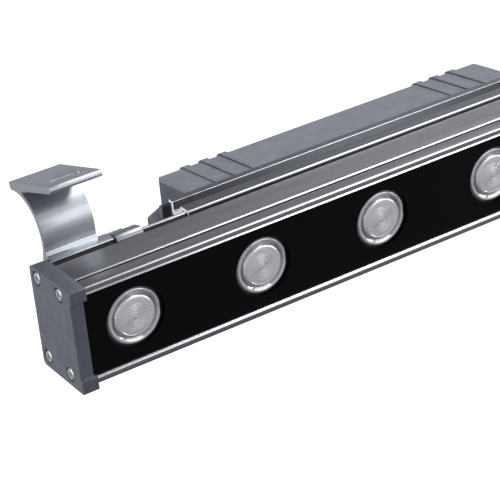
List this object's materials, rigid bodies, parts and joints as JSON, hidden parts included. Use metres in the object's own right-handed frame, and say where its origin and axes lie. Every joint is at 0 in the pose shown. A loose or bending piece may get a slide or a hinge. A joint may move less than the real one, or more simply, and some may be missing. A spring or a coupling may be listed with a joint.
{
  "type": "outdoor wall washer light",
  "caption": "Linear outdoor wall washer with round lenses behind a black front, hinged on slotted wall brackets, with its driver behind.",
  "frame": {"origin": "centre between the two bracket slots, on the plane of the brackets' flat mounting faces", "axes": "+X along the lamp, +Y away from the lit front, +Z out of the mounting faces, away from the lamp"},
  "size_m": [0.5, 0.1065, 0.1165],
  "materials": {
    "extrusion": "satin grey anodised extrusion",
    "end_cap": "fine-textured blue-grey powder coat",
    "rail": "satin anodised extrusion, bright cut ends",
    "bracket": "satin anodised extrusion",
    "clamp": "satin anodised extrusion, bright nose",
    "driver_case": "fine-textured grey powder coat on a casting",
    "black_panel": "deep black, low gloss",
    "lens": "clear moulded acrylic",
    "black_plastic": "moulded",
    "dark_plastic": "moulded",
    "white_plastic": "moulded",
    "white_board": "white solder mask",
    "green_board": "green solder mask",
    "emitter": "phosphor under a clear dome",
    "ferrite": "ferrite core",
    "capacitor_sleeve": "shrink sleeve",
    "rubber": "moulded seal",
    "steel": "polished stainless steel"
  },
  "bodies": {
    "mounting": {"left_bracket": "bracket", "right_bracket": "bracket", "left_clamp": "clamp", "right_clamp": "clamp", "clamp_screws": "steel"},
    "lamp": {"housing": "extrusion", "left_end_cap": "end_cap", "right_end_cap": "end_cap", "left_cap_gasket": "rubber", "right_cap_gasket": "rubber", "cap_screws": "steel", "front_panel": "black_panel", "panel_gasket": "rubber", "led_board": "white_board", "leds": "emitter", "board_screws": "steel", "board_terminal": "white_plastic", "lens_holders": "black_plastic", "feed_gland": "dark_plastic", "feed_gland_nut": "dark_plastic", "driver_rail": "rail", "rail_screws": "steel", "driver_cover": "driver_case", "driver_base": "driver_case", "driver_seal": "rubber", "driver_board": "green_board", "driver_transformer": "ferrite", "driver_capacitors": "capacitor_sleeve", "driver_screws": "steel", "driver_left_gland": "dark_plastic", "driver_right_gland": "dark_plastic", "lens_1": "lens", "lens_2": "lens", "lens_3": "lens", "lens_4": "lens", "lens_5": "lens", "lens_6": "lens"}
  },
  "joints": [
    {"name": "lamp_tilt", "type": "hinge", "parent": "mounting", "child": "lamp", "pos_m": [0, 0.0121, -0.0471], "axis": [1, 0, 0], "range_deg": [-20, 20]}
  ]
}
